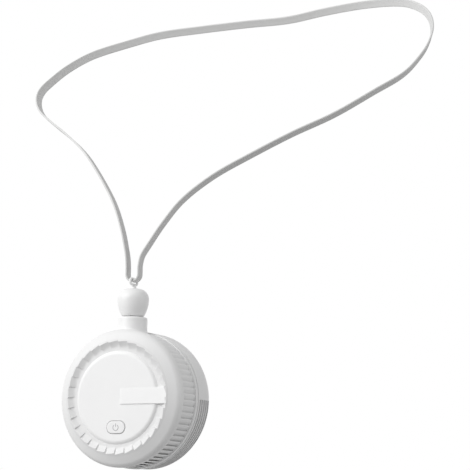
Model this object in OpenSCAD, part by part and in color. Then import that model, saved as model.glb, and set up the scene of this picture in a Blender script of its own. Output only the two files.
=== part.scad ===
// Electric neck fan: a drum-shaped blower that hangs on a flat neck strap.
// The front of the drum faces -Y and Z is up. The origin is where the strap rests on the
// back of the neck. Axial places in the drum are measured along Y from the collar's axis.

/* [Drum] */
// Outside diameter of the drum
drum_d = 67; // [62:0.5:76]
// From the collar's axis forward to the plane of the front rim
front_depth = 14; // [14:0.25:16]
// From the collar's axis back to the flat rear face
back_depth = 24; // [23.5:0.25:28]
// Wall of both shells
wall = 1.8; // [1.4:0.1:2.2]
// Radius of the soft front shoulder
shoulder_r = 5.3; // [4:0.1:6]
// Radius of the rear edge
back_edge_r = 8; // [5:0.25:9]
// Rear end of the front shell, behind the collar's axis
seam_place = 6.2; // [5.8:0.1:6.6]
// Visible width of the seam ring
seam_w = 0.8; // [0.5:0.1:1.2]
// Width of the shadow groove behind the seam ring
shadow_w = 0.6; // [0.4:0.1:0.8]

/* [Outlet slots] */
// Number of slots that a full turn would hold
slot_count = 68; // [40:1:76]
// Width of one slot, square to its walls
slot_w = 0.9; // [0.5:0.05:1]
// Slant of the slots from straight outward
slot_slant = 58; // [40:1:60]
// Front end of the slots, ahead of the collar's axis
slot_front = 6.5; // [5.5:0.25:7]
// Rear end of the slots, behind the collar's axis
slot_back = 4.5; // [3.5:0.25:5]

/* [Intake louvres] */
// Number of louvre rows on the lower rear half
louvre_rows = 5; // [3:1:5]
// From one louvre to the next
louvre_pitch = 2; // [1.6:0.1:2.1]
// Open width of each louvre
louvre_gap = 0.9; // [0.6:0.1:1.1]
// Depth of the step at the rear of each louvre
louvre_step = 0.8; // [0.4:0.1:1]
// How far the louvred half lies below the smooth half
louvre_sink = 0.35; // [0.2:0.05:0.5]
// From the rear shell's front edge to the first louvre
louvre_margin = 1; // [0.8:0.1:1.4]
// Openings in each row
louvre_cells = 6; // [4:1:8]

/* [Face] */
// From the flutes' outward corners in to the floor of the channel
slope_w = 4.4; // [4:0.1:5]
// Number of flutes
flute_count = 32; // [24:1:40]
// Depth of one flute at the rim
flute_depth = 1.1; // [0.6:0.05:1.4]
// Radius of the disc's front edge
disc_edge_r = 2; // [1:0.1:2.4]
// How far the disc stands ahead of the rim
disc_proud = 0.5; // [0.2:0.05:0.8]
// Depth of the channel floor behind the rim
channel_depth = 2.8; // [2.6:0.05:3.2]
// Width of the channel floor round the disc
channel_w = 1.1; // [0.8:0.05:1.4]
// Height of the raised bar
bar_h = 8.2; // [6:0.1:9]
// Thickness of the bar at its lower edge
bar_t = 0.5; // [0.4:0.05:0.8]

/* [Button] */
// Width of the power button
button_w = 10; // [8:0.1:11]
// Height of the power button
button_h = 6.2; // [5:0.1:7]
// From the button's lower edge to the edge of the disc
button_margin = 4; // [3.7:0.1:5.2]
// Gap all round the button
button_gap = 0.25; // [0.2:0.05:0.4]
// How far the button travels
button_travel = 0.5; // [0.3:0.05:0.5]

/* [Neck] */
// Radius of the collar on top of the drum
collar_r = 7.2; // [6.6:0.1:7.6]
// Top of the collar above the drum's outside
collar_h = 6.5; // [5:0.1:8]
// Largest radius of the knob
knob_r = 7.7; // [7:0.1:8.5]
// Height of the knob without its stem
knob_h = 13.7; // [12:0.1:16]
// Radius of the knob's stem
stem_r = 1.3; // [1:0.05:1.6]
// Radius of the swivel pin
pin_r = 2.5; // [2:0.05:2.8]
// Running gap of the swivel pin in its bush
run_gap = 0.05; // [0.02:0.01:0.08]

/* [Strap] */
// Width of the flat neck strap
strap_w = 4.5; // [3.5:0.1:4.8]
// Thickness of the flat neck strap
strap_t = 1; // [0.8:0.05:1.2]

/* [Blower] */
// From the blower wheel out to the shell's wall
wheel_room = 5.2; // [5.1:0.1:7.7]
// Number of blades
blade_count = 31; // [17:1:35]
// Thickness of one blade
blade_t = 0.7; // [0.5:0.05:0.9]
// Radius of the motor shaft
shaft_r = 1; // [0.8:0.05:1.2]

/* [Hidden] */
$fn = 96;

// Cuts run this far past the faces that they leave
overrun = 1;
// Standing clearance between bodies that move
clear = 0.3;

// Radial and axial chain of the drum
drum_r = drum_d / 2;
bore_r = drum_r - wall;
front_y = -front_depth;
rear_start = seam_place + seam_w + shadow_w;
shadow_depth = 0.9;

// Fluted ring
rim_land = 0.9;
seat_r = drum_r - shoulder_r;
rim_r = seat_r - rim_land;
ring_flange_w = 1.4;
ring_flange_t = 1.2;
ring_flange_gap = 0.1;
flat_share = 0.94;
fade_share = 0.35;
foot_r = rim_r - slope_w;
floor_y = front_y + channel_depth;
floor_t = 1.2;
floor_back = floor_y + floor_t;

// Disc and bar
disc_r = foot_r - channel_w;
disc_y = front_y - disc_proud;
disc_t = 1.4;
disc_back = disc_y + disc_t;
bar_start = 1.4;
bar_below = 3.6;
bar_thin = 0.05;
bar_corner = 0.15;
bar_end_w = 0.8;

// Power button, its switch and their board
button_drop = disc_r - button_margin - button_h / 2;
button_proud = 0.3;
button_flange = 0.8;
button_flange_t = 0.7;
plunger_r = 1.4;
plunger_gap = 0.1;
switch_w = 6;
switch_gap = 0.4;
board_t = 1;
board_boss_h = 0.4;
board_front = floor_back + board_boss_h;
board_back = board_front + board_t;
switch_h = 1.9;
switch_front = board_front - switch_h;
switch_bore = 1.2;
plunger_front = disc_back + clear + button_flange_t;
plunger_back = switch_front + switch_bore - button_travel - plunger_gap;
switch_board_w = 22;
switch_board_h = 10;
board_screw_x = 9;
board_screw_r = 0.6;
board_screw_head_r = 1.2;
board_screw_head_h = 0.7;
board_boss_r = 1.4;

// Middle frame and its posts
frame_inset = 0.2;
frame_y = seam_place - frame_inset;
frame_t = 1.4;
frame_back = frame_y + frame_t;
frame_post_foot = frame_y + frame_t / 2;
frame_gap = 0.15;
wheel_r = bore_r - wheel_room;
inlet_w = 6;
inlet_r = wheel_r - inlet_w;
hub_r = 14.5;
spoke_w = 3.2;
spoke_count = 4;
post_r = 2;
post_angles = [45, 165, 285];
post_front = front_y + wall + ring_flange_t + clear;
frame_screw_r = 0.8;
frame_screw_head_r = 1.5;
post_place = bore_r - frame_screw_head_r - frame_gap;
frame_screw_head_h = 0.9;
frame_screw_len = 8;
frame_screw_tip = frame_back - frame_screw_len;

// Screws of the rear shell
shell_screw_angles = [30, 150, 270];
shell_screw_inset = 9.2;
shell_screw_place = bore_r - shell_screw_inset;
shell_post_r = 2.9;
shell_post_len = 10;
shell_post_meet = back_depth - shell_post_len;
shell_screw_r = 0.9;
shell_screw_head_r = 1.8;
shell_screw_head_h = 1.2;
shell_sink_r = 2.1;
shell_sink_depth = 6;
shell_sink_y = back_depth - shell_sink_depth;
shell_tip_gap = 2.2;
shell_screw_tip = frame_back + shell_tip_gap;
pilot_gap = 0.1;
screw_slot_share = 0.3;

// Solid ribs between the louvres' openings
rib_share = 0.16;
// Draft of the louvres' steps, against their pitch
louvre_draft_share = 0.05;

// Motor
base_t = 1.6;
base_r = 13.5;
base_front = frame_y - base_t;
tube_r = 3.6;
tube_front = -3.4;
bearing_r = 2.5;
bearing_w = 2.3;
bearing_gap = 0.03;
bearing_race = 0.5;
bearing_shield = 0.25;
shaft_gap = 0.6;
cup_r = 12.5;
cup_t = 1.1;
cup_front = -5.2;
cup_gap = 0.6;
cup_back = base_front - cup_gap;
magnet_t = 1.5;
magnet_half = 3.5;
air_gap = 0.5;
core_r = cup_r - cup_t - magnet_t - air_gap;
core_half = 2.6;
core_poles = 9;
core_hub_t = 1.2;
pole_w = 1.5;
pole_tip_t = 1;
pole_space = 1.5;
coil_t = 0.7;
coil_rise = 0.9;
coil_start = tube_r + core_hub_t + coil_rise / 2;
coil_reach = core_r - pole_tip_t - coil_rise / 4 - coil_start;

// Blower wheel
wheel_plate_t = 1;
wheel_front = cup_front - wheel_plate_t;
wheel_back = slot_back - clear;
wheel_ring_w = 1.6;
wheel_ring_t = 0.8;
blade_curve_r = 4.6;
blade_sweep = 78;
blade_lean = 28;

// Boards, cell and socket in the rear half
main_board_t = 1;
standoff_h = 1.8;
main_board_y = frame_back + standoff_h;
main_board_back = main_board_y + main_board_t;
main_board_gap = 0.9;
main_board_r = bore_r - main_board_gap;
main_board_low = 3.5;
standoff_r = 1.6;
standoff_inset = 4.8;
standoff_lean = 22.6;
chip_h = 1;
chip_w = 4;
chip_place_shares = [-1.5, 0, 1.5];
cell_side_gap = 2.6;
cell_wall_gap = 4.35;
cell_chip_gap = 2.8;
cell_low = 4.5;
cell_edge = 1.2;
cell_w = 2 * (shell_screw_place * cos(shell_screw_angles[0]) - shell_post_r - cell_side_gap);
cell_h = sqrt((bore_r - cell_wall_gap) ^ 2 - (cell_w / 2) ^ 2) - cell_low;
pad_t = 0.8;
pad_margin = 3;
cell_back = back_depth - wall - pad_t;
cell_front = main_board_back + chip_h + cell_chip_gap;
usb_angle = 165;
usb_w = 8.94;
usb_h = 3.2;
usb_len = 7.3;
usb_wall = 0.3;
usb_inset = 0.4;
usb_gap = 0.2;
usb_tongue_w = 6.6;
usb_tongue_t = 0.7;
usb_y = main_board_back + usb_h / 2;

// Leads
lead_r = 0.45;
lead_sides = 8;
lead_pitch = 1.6;
lead_bend = 2.4;
lead_turn_steps = 6;
lead_hole_r = lead_r + clear;
cell_lead_share = 0.75;
switch_lead_angle = 150;
switch_lead_place = (wheel_r + bore_r) / 2 + lead_r;

// Collar, bush, pin and clip
collar_top = drum_r + collar_h;
collar_round = 1;
spigot_r = 5.2;
spigot_reach = 0.7;
spigot_low = bore_r - spigot_reach;
bush_r = 4.2;
pin_tail = 0.9;
pin_low = spigot_low - pin_tail;
clip_t = 0.5;
clip_z = spigot_low - run_gap - clip_t;
clip_r = 4.3;
clip_groove_r = 2.1;
clip_slot_w = 2.6;
knob_gap = 0.4;
knob_low = collar_top + knob_gap;
knob_top = knob_low + knob_h;
knob_shoulder = 5.2;
knob_belly_r = 16;
pin_grip = 5;
pin_top = knob_low + pin_grip;

// Stem and eyelet
stem_h = 1.4;
stem_fillet = 0.8;
eye_wire = 0.6;
eye_gap = 0.4;
eye_reach = 2.85;
eye_half = strap_w / 2 + eye_gap + eye_wire;
eye_z = knob_top + stem_h + eye_wire + eye_reach;

// Strap end: a U of the strap's own section round the eyelet's bar
strap_seat = 0.05;
u_leg = 3.9;
strap_round = 0.3;

// The strap's route, in the part's own frame: round points chosen by hand
strap_route = [
    [-3.3, -158, -159], [-3.7, -157.9, -155], [-5, -157.2, -150], [-9, -155, -139],
    [-17, -150, -125], [-31, -141, -109], [-46, -131, -95], [-64, -118, -83],
    [-83, -104, -72], [-100, -89, -62], [-112, -74, -52], [-119, -60, -43],
    [-121, -46, -34], [-118, -33, -24], [-109, -22, -15], [-93, -12, -8],
    [-74, -6, -3], [-50, -2, -1], [-22, 0, 0], [4, 0, 0],
    [28, -2, 2], [54, -8, 2], [78, -17, -1], [92, -24, -6],
    [103, -34, -14], [110, -45, -24], [113, -56, -34], [113, -67, -44],
    [109, -80, -56], [99, -94, -67], [84, -108, -80], [67, -121, -91],
    [50, -131, -102], [34, -140, -113], [21, -147, -125], [13, -152, -137],
    [6.8, -155.9, -148.6], [4.2, -157.5, -154], [3.3, -158, -159]
];
// Turn of the strap about its own line at each point, in degrees
strap_turns = [
    0, 0, 0, 0, 0, 0, 0, 0, 0, 0,
    0, 3, 6, 10, 14, 18, 21, 24, 25, 25,
    24, 20, 14, 8, 3, 0, 0, 0, 0, 0,
    0, 0, 0, 0, 0, 1, 2, 2, 2
];
strap_steps = 2;

// The drum hangs by the eyelet from the strap's two ends
strap_foot = strap_route[0];
u_mid_r = abs(strap_foot[0]);
u_centre_z = eye_z - eye_wire - strap_seat - strap_t / 2 + u_mid_r;
drum_at = [0, strap_foot[1], strap_foot[2] - u_leg - u_centre_z];

shell_white = [0.94, 0.94, 0.94];
trim_white = [0.98, 0.98, 0.98];
strap_grey = [0.86, 0.86, 0.86];
metal = [0.75, 0.76, 0.78];
board_green = [0.12, 0.38, 0.26];
copper = [0.78, 0.45, 0.22];
dark = [0.2, 0.2, 0.22];

// Vector helpers
function unit(v) = v / norm(v);
function across(v, along) = unit(v - (v * along) * along);

// Point at share t of the way from b to c on a smooth curve through a, b, c and d
function curve(a, b, c, d, t) =
    0.5 * (2 * b + (c - a) * t + (2 * a - 5 * b + 4 * c - d) * t * t
        + (3 * b - a - 3 * c + d) * t * t * t);

// A list made steps times finer along the smooth curve through its entries
function finer(list, steps) = let (last = len(list) - 1) concat([
    for (i = [0 : last - 1])
        for (k = [0 : steps - 1])
            curve(list[max(i - 1, 0)], list[i], list[i + 1], list[min(i + 2, last)], k / steps)
], [list[last]]);

// Direction of a line of points at its point i
function along(points, i) =
    unit(points[min(i + 1, len(points) - 1)] - points[max(i - 1, 0)]);

// Sideways directions carried along a line of points with no turn about the line
function carried(points, first, i = 0) =
    let (side = across(first, along(points, i)))
    i == len(points) - 1 ? [side] : concat([side], carried(points, side, i + 1));

// A closed outline swept along points; turns are about the line, from the carried side.
// The ends lie square to start and end where these are given, else to the line.
module swept(points, outline, first, turns, start, end) {
    sides = carried(points, first);
    n = len(outline);
    last = len(points) - 1;
    rings = [
        for (i = [0 : last])
            let (
                given = i == 0 ? start : i == last ? end : undef,
                way = is_undef(given) ? along(points, i) : given,
                flat = across(sides[i], way),
                side = cos(turns[i]) * flat + sin(turns[i]) * cross(way, flat),
                up = cross(way, side)
            )
            for (p = outline)
                points[i] + p[0] * side + p[1] * up
    ];
    walls = [
        for (i = [0 : last - 1])
            for (k = [0 : n - 1])
                let (a = i * n + k, b = i * n + (k + 1) % n)
                    each [[a, a + n, b + n], [a, b + n, b]]
    ];
    caps = [[for (k = [0 : n - 1]) k], [for (k = [n - 1 : -1 : 0]) last * n + k]];
    polyhedron(points = rings, faces = concat(walls, caps));
}

function round_outline(r, n) = [for (k = [0 : n - 1]) r * [cos(360 * k / n), sin(360 * k / n)]];

// The flat strap's section with its edges eased
function strap_outline() = let (w = strap_w / 2, t = strap_t / 2, e = strap_round) [
    [w, t - e], [w - e, t], [e - w, t], [-w, t - e],
    [-w, e - t], [e - w, -t], [w - e, -t], [w, e - t]
];

// Puts a part of the drum in place
module in_drum() translate(drum_at) children();

// Turns a shape made round Z so that its axis runs along Y, front first
module along_y() rotate([-90, 0, 0]) children();

// Turns about the drum's axis, from +X towards +Z
module turned(angle) rotate([0, -angle, 0]) children();

// A drum's half section, its radius across and its axial place up
module drum_section(r, front, back, front_round, back_round) {
    translate([0, front]) square([r - front_round, back - back_round - front]);
    translate([0, front + front_round]) square([r - back_round, back - front - front_round]);
    translate([0, front + front_round]) square([r, back - front - front_round - back_round]);
    if (front_round > 0)
        translate([r - front_round, front + front_round]) circle(r = front_round);
    if (back_round > 0)
        translate([r - back_round, back - back_round]) circle(r = back_round);
}

// A drum with only the part of its section right of the axis
module drum_solid(r, front, back, front_round, back_round)
    along_y() rotate_extrude() intersection() {
        drum_section(r, front, back, front_round, back_round);
        translate([0, front]) square([r, back - front]);
    }

module tube_y(r_out, r_in, front, back)
    along_y() rotate_extrude() translate([r_in, front]) square([r_out - r_in, back - front]);

module rod_y(r, front, back)
    translate([0, front, 0]) along_y() cylinder(r = r, h = back - front);

module rod_z(r, low, high)
    translate([0, 0, low]) cylinder(r = r, h = high - low);

// A slab with its size across X and Z and its axial places
module slab_y(w, h, front, back)
    translate([-w / 2, front, -h / 2]) cube([w, back - front, h]);

// A pill lying along X
module pill_y(w, h, front, back) {
    for (side = [-1, 1])
        translate([side * (w - h) / 2, 0, 0]) rod_y(h / 2, front, back);
    slab_y(w - h, h, front, back);
}

module at_posts() for (a = post_angles) turned(a) translate([post_place, 0, 0]) children();

module at_shell_screws()
    for (a = shell_screw_angles) turned(a) translate([shell_screw_place, 0, 0]) children();

// Slots that would lie under the collar are left out
function slot_free(angle) = sin(angle) < 0 || abs(drum_r * cos(angle)) > collar_r + clear
    + (slot_w / cos(slot_slant) + wall * tan(slot_slant)) / 2;

// Slanted slots, so that no straight line leads from outside to the blower wheel
module outlet_slots() {
    reach = (wall + 2 * overrun) / cos(slot_slant);
    for (i = [0 : slot_count - 1])
        let (angle = 360 * (i + 0.5) / slot_count)
            if (slot_free(angle)) turned(angle) translate([drum_r - wall / 2, -slot_front, 0])
                rotate([0, -slot_slant, 0]) translate([-reach / 2, 0, -slot_w / 2])
                    cube([reach, slot_front + slot_back, slot_w]);
}

module front_shell() color(shell_white) in_drum() difference() {
    union() {
        difference() {
            drum_solid(drum_r, front_y, seam_place, shoulder_r, 0);
            drum_solid(bore_r, front_y + wall, seam_place + overrun, shoulder_r - wall, 0);
            rod_y(seat_r, front_y - overrun, front_y + wall + overrun);
            rod_y(
                seat_r + ring_flange_w + ring_flange_gap,
                front_y + wall, front_y + wall + ring_flange_t + ring_flange_gap
            );
            rod_z(spigot_r, 0, drum_r + overrun);
            outlet_slots();
        }
        at_posts() rod_y(post_r, post_front, frame_y);
    }
    at_posts() rod_y(frame_screw_r - pilot_gap, frame_screw_tip, seam_place + overrun);
}

// A saw-toothed outline whose radius is largest at each corner
function saw_outline(r, depth, count) = [
    for (i = [0 : count - 1])
        for (end = [0, 1])
            let (a = -360 * (i + end * flat_share) / count)
                (r - depth * end) * [cos(a), sin(a)]
];

module fluted_ring() color(trim_white) in_drum() difference() {
    union() {
        rod_y(seat_r, front_y, front_y + wall);
        rod_y(seat_r + ring_flange_w, front_y + wall, front_y + wall + ring_flange_t);
        rod_y(foot_r + ring_flange_w, front_y + wall, floor_back);
        for (side = [-1, 1])
            translate([side * board_screw_x, 0, -button_drop])
                rod_y(board_boss_r, floor_y, board_front);
    }
    flute_void();
    channel_void();
    translate([0, 0, -button_drop])
        slab_y(switch_w + 2 * switch_gap, switch_w + 2 * switch_gap, floor_y - overrun, board_front);
    for (side = [-1, 1])
        translate([side * board_screw_x, 0, -button_drop])
            rod_y(board_screw_r - pilot_gap, floor_y - overrun, board_front + overrun);
}

// The flutes run out towards the foot of the channel's wall
module flute_void() {
    mouth = rim_r + (rim_r - foot_r) * overrun / channel_depth;
    translate([0, front_y - overrun, 0]) along_y()
        linear_extrude(
            height = channel_depth + overrun,
            scale = (foot_r - flute_depth * fade_share) / mouth
        ) polygon(saw_outline(mouth, flute_depth, flute_count));
}
module channel_void() translate([0, front_y, 0]) along_y()
    cylinder(r1 = rim_r - flute_depth, r2 = foot_r, h = channel_depth);

module face_disc() color(trim_white) in_drum() difference() {
    drum_solid(disc_r, disc_y, floor_y, disc_edge_r, 0);
    rod_y(disc_r - disc_t, disc_back, floor_y + overrun);
    translate([0, 0, -button_drop])
        pill_y(button_w + 2 * button_gap, button_h + 2 * button_gap, disc_y - overrun, disc_back + overrun);
}

// A plate that is thickest along its lower edge and fills the channel under it
module face_bar() color(trim_white) in_drum() intersection() {
    translate([bar_start, 0, -bar_below]) rotate([90, 0, 90]) linear_extrude(height = rim_r)
        polygon([
            [floor_y, 0], [disc_y - bar_t + bar_corner, 0], [disc_y - bar_t, bar_corner],
            [disc_y - bar_thin, bar_h], [floor_y, bar_h]
        ]);
    along_y() rotate_extrude() difference() {
        polygon([
            [0, disc_y - bar_t], [rim_r - bar_end_w, disc_y - bar_t], [rim_r, front_y],
            [rim_r - flute_depth - clear, front_y],
            [foot_r, floor_y - clear], [disc_r, floor_y - clear], [disc_r, disc_y],
            [0, disc_y]
        ]);
        translate([disc_r - disc_edge_r, disc_y + disc_edge_r]) circle(r = disc_edge_r);
    }
}

module seam_ring() color(trim_white) in_drum() {
    tube_y(drum_r, bore_r, seam_place, seam_place + seam_w);
    tube_y(drum_r - shadow_depth, bore_r, seam_place, rear_start);
}

module rear_shell() color(shell_white) in_drum() difference() {
    union() {
        difference() {
            drum_solid(drum_r, rear_start, back_depth, 0, back_edge_r);
            drum_solid(bore_r, rear_start - overrun, back_depth - wall, 0, back_edge_r - wall);
        }
        at_shell_screws() rod_y(shell_post_r, shell_post_meet, back_depth - wall / 2);
    }
    louvres();
    at_shell_screws() {
        rod_y(shell_screw_r + pilot_gap, shell_post_meet - overrun, back_depth + overrun);
        rod_y(shell_sink_r, shell_sink_y, back_depth + overrun);
    }
    turned(usb_angle) translate([drum_r - wall / 2, usb_y, 0])
        usb_outline(usb_gap, 2 * wall);
}

// Rows round the lower half that slope inward to the rear, each open at the foot of its step
module louvres() {
    top = drum_r - louvre_sink;
    first = rear_start + louvre_margin;
    along_y() {
        for (row = [0 : louvre_rows - 1])
            rotate_extrude(angle = 180) translate([0, first + row * louvre_pitch]) polygon([
                [top, 0], [drum_r + overrun, 0],
                [drum_r + overrun, (1 + louvre_draft_share) * louvre_pitch],
                [top - louvre_step, louvre_pitch]
            ]);
        for (row = [0 : louvre_rows - 1])
            for (cell = [0 : louvre_cells - 1])
                rotate([0, 0, (cell + rib_share / 2) * 180 / louvre_cells])
                    rotate_extrude(angle = (1 - rib_share) * 180 / louvre_cells)
                        translate([bore_r - overrun, first + (row + 1) * louvre_pitch - louvre_gap])
                            square([wall + 2 * overrun, louvre_gap]);
    }
}
// The socket's mouth as a pill whose long way runs round the drum
module usb_outline(gap, length)
    for (side = [-1, 1]) {
        translate([-length / 2, 0, side * (usb_w - usb_h) / 2]) rotate([0, 90, 0])
            cylinder(r = usb_h / 2 + gap, h = length);
        translate([-length / 2, -usb_h / 2 - gap, -(usb_w - usb_h) / 2])
            cube([length, usb_h + 2 * gap, usb_w - usb_h]);
    }

module usb_socket() color(metal) in_drum()
    turned(usb_angle) translate([drum_r - usb_inset - usb_len / 2, usb_y, 0]) {
        difference() {
            usb_outline(0, usb_len);
            translate([usb_wall, 0, 0]) usb_outline(-usb_wall, usb_len);
        }
        translate([-usb_len / 2, -usb_tongue_t / 2, -usb_tongue_w / 2])
            cube([usb_len - usb_wall, usb_tongue_t, usb_tongue_w]);
    }

module neck_collar() color(shell_white) in_drum() difference() {
    union() {
        difference() {
            rotate_extrude() intersection() {
                union() {
                    square([collar_r - collar_round, collar_top]);
                    square([collar_r, collar_top - collar_round]);
                    translate([collar_r - collar_round, collar_top - collar_round])
                        circle(r = collar_round);
                }
                square([collar_r, collar_top]);
            }
            rod_y(drum_r, -drum_r, drum_r);
        }
        rod_z(spigot_r, spigot_low, drum_r + collar_h / 2);
    }
    rod_z(bush_r, 0, collar_top + overrun);
}

module swivel_bush() color(metal) in_drum() difference() {
    rod_z(bush_r, spigot_low, collar_top);
    rod_z(pin_r + run_gap, 0, collar_top + overrun);
}

module swivel_pin() color(metal) in_drum() difference() {
    rod_z(pin_r, pin_low, pin_top);
    difference() {
        rod_z(pin_r + overrun, clip_z, clip_z + clip_t);
        rod_z(clip_groove_r, clip_z - overrun, clip_z + clip_t + overrun);
    }
}

module retaining_clip() color(metal) in_drum() difference() {
    rod_z(clip_r, clip_z, clip_z + clip_t);
    rod_z(clip_groove_r, clip_z - overrun, clip_z + clip_t + overrun);
    translate([0, -clip_slot_w / 2, clip_z - overrun])
        cube([clip_r + overrun, clip_slot_w, clip_t + 2 * overrun]);
}

module ball_knob() color(trim_white) in_drum() {
    belly_z = knob_top - knob_shoulder;
    difference() {
        rotate_extrude() {
            intersection() {
                translate([knob_r - knob_belly_r, belly_z]) circle(r = knob_belly_r);
                translate([0, knob_low]) square([knob_r, belly_z - knob_low]);
            }
            intersection() {
                union() {
                    translate([knob_r - knob_shoulder, belly_z]) circle(r = knob_shoulder);
                    translate([0, belly_z]) square([knob_r - knob_shoulder, knob_shoulder]);
                }
                translate([0, belly_z]) square([knob_r, knob_shoulder]);
            }
            translate([0, knob_top - stem_fillet]) square([stem_r, stem_h + stem_fillet + eye_wire]);
            difference() {
                translate([0, knob_top]) square([stem_r + stem_fillet, stem_fillet]);
                translate([stem_r + stem_fillet, knob_top + stem_fillet]) circle(r = stem_fillet);
            }
        }
        rod_z(pin_r, knob_low - overrun, pin_top);
    }
    eyelet();
}

// A closed loop of round wire with its bar along Y
module eyelet() translate([0, 0, eye_z]) {
    for (z = [0, -eye_reach]) translate([0, 0, z]) rod_y(eye_wire, -eye_half, eye_half);
    for (side = [-1, 1]) translate([0, side * eye_half, 0]) {
        rod_z(eye_wire, -eye_reach, 0);
        for (z = [0, -eye_reach]) translate([0, 0, z]) sphere(r = eye_wire);
    }
}

module strap_end() color(strap_grey) in_drum() translate([0, strap_w / 2, u_centre_z])
    rotate([90, 0, 0]) {
        rotate([0, 0, 180]) rotate_extrude(angle = 180)
            translate([u_mid_r - strap_t / 2, 0]) square([strap_t, strap_w]);
        for (side = [-1, 1])
            translate([side * u_mid_r - strap_t / 2, 0, 0]) cube([strap_t, u_leg, strap_w]);
    }

module lanyard() color(strap_grey) swept(
    finer(strap_route, strap_steps), strap_outline(), [0, 1, 0],
    finer(strap_turns, strap_steps), [0, 0, 1], [0, 0, -1]
);

module power_button() color(trim_white) in_drum() translate([0, 0, -button_drop]) {
    pill_y(button_w, button_h, disc_y - button_proud, disc_back + clear);
    pill_y(
        button_w + button_flange, button_h + button_flange,
        disc_back + clear, disc_back + clear + button_flange_t
    );
}

module switch_plunger() color(dark) in_drum() translate([0, 0, -button_drop])
    rod_y(plunger_r, plunger_front, plunger_back);

module tact_switch() color(metal) in_drum() translate([0, 0, -button_drop]) difference() {
    slab_y(switch_w, switch_w, switch_front, board_front);
    rod_y(plunger_r + plunger_gap, switch_front - overrun, switch_front + switch_bore);
}

module switch_board() color(board_green) in_drum() translate([0, 0, -button_drop]) difference() {
    slab_y(switch_board_w, switch_board_h, board_front, board_back);
    for (side = [-1, 1]) translate([side * board_screw_x, 0, 0])
        rod_y(board_screw_r + pilot_gap, board_front - overrun, board_back + overrun);
}

module board_screws() color(metal) in_drum()
    for (side = [-1, 1]) translate([side * board_screw_x, 0, -button_drop])
        screw_y(board_screw_r, board_screw_head_r, board_screw_head_h, board_back, floor_y);

// A pan-head screw driven forward from its seat to its tip
module screw_y(shank_r, head_r, head_h, seat, tip) difference() {
    union() {
        rod_y(shank_r - pilot_gap, tip, seat);
        rod_y(head_r, seat, seat + head_h);
    }
    slab_y(head_r, screw_slot_share * head_r, seat + head_h / 2, seat + head_h + overrun);
    slab_y(screw_slot_share * head_r, head_r, seat + head_h / 2, seat + head_h + overrun);
}
module mid_frame() color(shell_white) in_drum() {
    difference() {
        translate([0, frame_y, 0]) along_y() linear_extrude(height = frame_t) frame_outline();
        at_posts() rod_y(frame_screw_r + pilot_gap, frame_y - overrun, frame_back + overrun);
        at_motor_leads() rod_y(lead_hole_r, frame_y - overrun, frame_back + overrun);
        turned(switch_lead_angle) translate([switch_lead_place, 0, 0])
            slab_y(
                2 * lead_hole_r, lead_pitch + 2 * lead_hole_r,
                frame_y - overrun, frame_back + overrun
            );
    }
    at_shell_screws() difference() {
        rod_y(shell_post_r, frame_post_foot, shell_post_meet);
        rod_y(shell_screw_r - pilot_gap, frame_back, shell_post_meet + overrun);
    }
    at_standoffs() rod_y(standoff_r, frame_post_foot, main_board_y);
}

// A rim and a hub joined by spokes, open between them for the air
module frame_outline() difference() {
    union() {
        difference() {
            circle(r = bore_r - frame_gap);
            circle(r = inlet_r);
        }
        circle(r = hub_r);
        for (k = [0 : spoke_count - 1]) rotate(360 * (k + 0.5) / spoke_count)
            translate([0, -spoke_w / 2]) square([inlet_r + overrun, spoke_w]);
    }
    circle(r = shaft_r + shaft_gap);
}

module at_standoffs()
    for (side = [-1, 1])
        turned(90 + side * standoff_lean) translate([main_board_r - standoff_inset, 0, 0]) children();

// The motor's three leads leave the windings next to one another
module at_motor_leads() for (k = [1 : 3])
    turned(360 * k / core_poles) translate([coil_start + coil_reach / 2, 0, 0]) children();

module frame_screws() color(metal) in_drum() at_posts()
    screw_y(
        frame_screw_r, frame_screw_head_r, frame_screw_head_h,
        frame_back, frame_screw_tip
    );

module shell_screws() color(metal) in_drum() at_shell_screws()
    screw_y(shell_screw_r, shell_screw_head_r, shell_screw_head_h, shell_sink_y, shell_screw_tip);

module motor_base() color(metal) in_drum() difference() {
    union() {
        rod_y(base_r, base_front, frame_y);
        rod_y(tube_r, tube_front, frame_y);
    }
    rod_y(bearing_r, tube_front - overrun, tube_front + bearing_w);
    rod_y(bearing_r, frame_y - bearing_w, frame_y + overrun);
    rod_y(shaft_r + shaft_gap, tube_front, frame_y);
    at_motor_leads() rod_y(lead_hole_r, base_front - overrun, frame_y + overrun);
}

// A ball bearing as bought: two races with a shield set in between them on each face
module bearing(front) along_y() rotate_extrude() difference() {
    translate([shaft_r + bearing_gap, front])
        square([bearing_r - shaft_r - bearing_gap, bearing_w]);
    for (y = [front, front + bearing_w])
        translate([shaft_r + bearing_race, y - bearing_shield])
            square([bearing_r - shaft_r - 2 * bearing_race, 2 * bearing_shield]);
}

module front_bearing() color(metal) in_drum() bearing(tube_front);

module rear_bearing() color(metal) in_drum() bearing(frame_y - bearing_w);

// A stack of laminations cut from a disc, with winding space between the poles
module stator_core() color(dark) in_drum() along_y()
    translate([0, 0, -core_half]) linear_extrude(height = 2 * core_half) difference() {
        circle(r = core_r);
        circle(r = tube_r);
        difference() {
            circle(r = core_r - pole_tip_t);
            circle(r = tube_r + core_hub_t);
            for (k = [0 : core_poles - 1]) rotate(360 * k / core_poles)
                translate([0, -pole_w / 2]) square([core_r, pole_w]);
        }
        for (k = [0 : core_poles - 1]) rotate(360 * (k + 0.5) / core_poles)
            translate([core_r - 2 * pole_tip_t, -pole_space / 2])
                square([2 * pole_tip_t + overrun, pole_space]);
    }

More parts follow.
